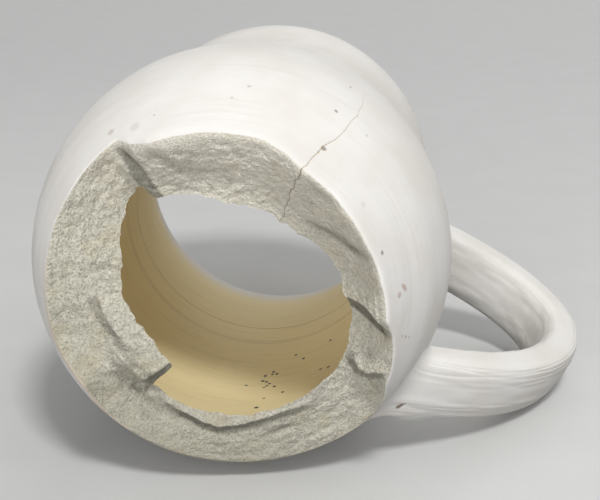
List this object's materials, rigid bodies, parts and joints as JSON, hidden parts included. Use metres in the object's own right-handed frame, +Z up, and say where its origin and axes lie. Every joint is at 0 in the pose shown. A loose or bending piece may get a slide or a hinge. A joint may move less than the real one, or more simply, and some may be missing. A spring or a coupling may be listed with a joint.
{
  "type": "cracked mug",
  "caption": "Hand-thrown clay mug with its bottom broken away, a crack up the wall and a strap handle, lying on its side.",
  "frame": {"origin": "middle of the bounding box in plan, on the surface that the mug lies on", "axes": "+Z up; the mug lies on its side with its axis in the vertical plane through Y, the mouth end 3 degrees lower; its mouth faces +Y and its broken base -Y, and the handle reaches out along +X"},
  "size_m": [0.1262, 0.12, 0.0919],
  "materials": {
    "fired_clay": "matt, unglazed outside"
  },
  "bodies": {
    "root": {"mug": "fired_clay"}
  },
  "joints": []
}
